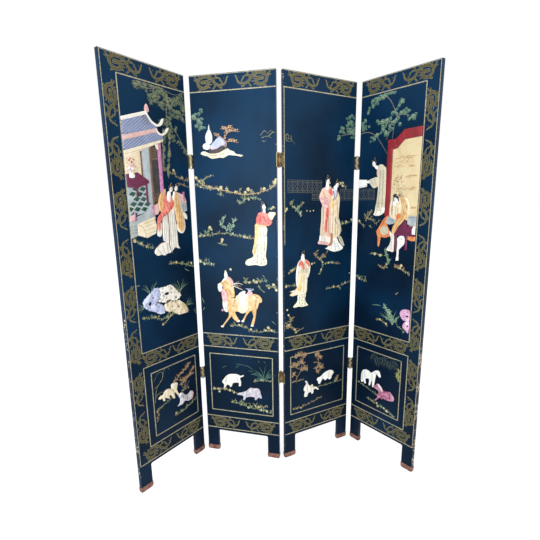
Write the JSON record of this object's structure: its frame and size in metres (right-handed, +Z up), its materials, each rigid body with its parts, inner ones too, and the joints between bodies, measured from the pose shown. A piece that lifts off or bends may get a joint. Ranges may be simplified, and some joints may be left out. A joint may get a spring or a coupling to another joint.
{
  "type": "folding lacquer screen",
  "caption": "Free-standing folding room screen of hinged lacquered wooden panels on legs, with carved hardstone pictures.",
  "frame": {"origin": "on the floor, under the middle of the opened screen's bounding box", "axes": "+Z up, +X to the viewer's right along the opened screen, -Y towards the viewer who sees the pictures"},
  "size_m": [1.3004, 0.4538, 1.83],
  "materials": {
    "blue_lacquer": "dark blue lacquer over wood, semi-gloss",
    "copper_sabot": "worn reddish copper alloy sheet",
    "hinge_brass": "aged brass, soft sheen",
    "ivory_stone": "carved pale soapstone, waxed",
    "coloured_stone": "carved tinted soapstone, waxed"
  },
  "bodies": {
    "panel_1": {"panel_1_left_stile": "blue_lacquer", "panel_1_right_stile": "blue_lacquer", "panel_1_top_rail": "blue_lacquer", "panel_1_bottom_rail": "blue_lacquer", "panel_1_core_board": "blue_lacquer", "panel_1_left_sabot": "copper_sabot", "panel_1_right_sabot": "copper_sabot", "panel_1_pavilion_stones": "coloured_stone", "panel_1_lady_stones": "ivory_stone", "panel_1_garden_rock_stones": "coloured_stone", "panel_1_dog_pair_stones": "ivory_stone", "hinge_1_2_upper_two_knuckle_leaf": "hinge_brass", "hinge_1_2_lower_two_knuckle_leaf": "hinge_brass"},
    "panel_2": {"panel_2_left_stile": "blue_lacquer", "panel_2_right_stile": "blue_lacquer", "panel_2_top_rail": "blue_lacquer", "panel_2_bottom_rail": "blue_lacquer", "panel_2_core_board": "blue_lacquer", "panel_2_left_sabot": "copper_sabot", "panel_2_right_sabot": "copper_sabot", "panel_2_lady_stones": "ivory_stone", "panel_2_deer_stones": "ivory_stone", "panel_2_cream_boar_stone": "ivory_stone", "panel_2_grey_boar_stone": "ivory_stone", "hinge_1_2_upper_three_knuckle_leaf": "hinge_brass", "hinge_1_2_upper_pin": "hinge_brass", "hinge_1_2_lower_three_knuckle_leaf": "hinge_brass", "hinge_1_2_lower_pin": "hinge_brass", "hinge_2_3_upper_three_knuckle_leaf": "hinge_brass", "hinge_2_3_upper_pin": "hinge_brass", "hinge_2_3_lower_three_knuckle_leaf": "hinge_brass", "hinge_2_3_lower_pin": "hinge_brass"},
    "panel_3": {"panel_3_left_stile": "blue_lacquer", "panel_3_right_stile": "blue_lacquer", "panel_3_top_rail": "blue_lacquer", "panel_3_bottom_rail": "blue_lacquer", "panel_3_core_board": "blue_lacquer", "panel_3_left_sabot": "copper_sabot", "panel_3_right_sabot": "copper_sabot", "panel_3_lady_pair_stones": "ivory_stone", "panel_3_lower_lady_stones": "ivory_stone", "panel_3_bear_stone": "ivory_stone", "panel_3_lion_stone": "ivory_stone", "hinge_2_3_upper_two_knuckle_leaf": "hinge_brass", "hinge_2_3_lower_two_knuckle_leaf": "hinge_brass", "hinge_3_4_upper_three_knuckle_leaf": "hinge_brass", "hinge_3_4_upper_pin": "hinge_brass", "hinge_3_4_lower_three_knuckle_leaf": "hinge_brass", "hinge_3_4_lower_pin": "hinge_brass"},
    "panel_4": {"panel_4_left_stile": "blue_lacquer", "panel_4_right_stile": "blue_lacquer", "panel_4_top_rail": "blue_lacquer", "panel_4_bottom_rail": "blue_lacquer", "panel_4_core_board": "blue_lacquer", "panel_4_left_sabot": "copper_sabot", "panel_4_right_sabot": "copper_sabot", "panel_4_lady_and_furniture_stones": "ivory_stone", "panel_4_horse_pair_stones": "ivory_stone", "hinge_3_4_upper_two_knuckle_leaf": "hinge_brass", "hinge_3_4_lower_two_knuckle_leaf": "hinge_brass"}
  },
  "joints": [
    {"name": "fold_1_2", "type": "hinge", "parent": "panel_2", "child": "panel_1", "pos_m": [-0.40045, 0.09658, 0], "axis": [0, 0, 1], "range_deg": [-69.6, 110.4]},
    {"name": "fold_2_3", "type": "hinge", "parent": "panel_2", "child": "panel_3", "pos_m": [0.00055, 0.04134, 0], "axis": [0, 0, 1], "range_deg": [-43.1, 136.9]},
    {"name": "fold_3_4", "type": "hinge", "parent": "panel_3", "child": "panel_4", "pos_m": [0.37219, 0.20174, 0], "axis": [0, 0, 1], "range_deg": [-100.3, 79.7]}
  ]
}
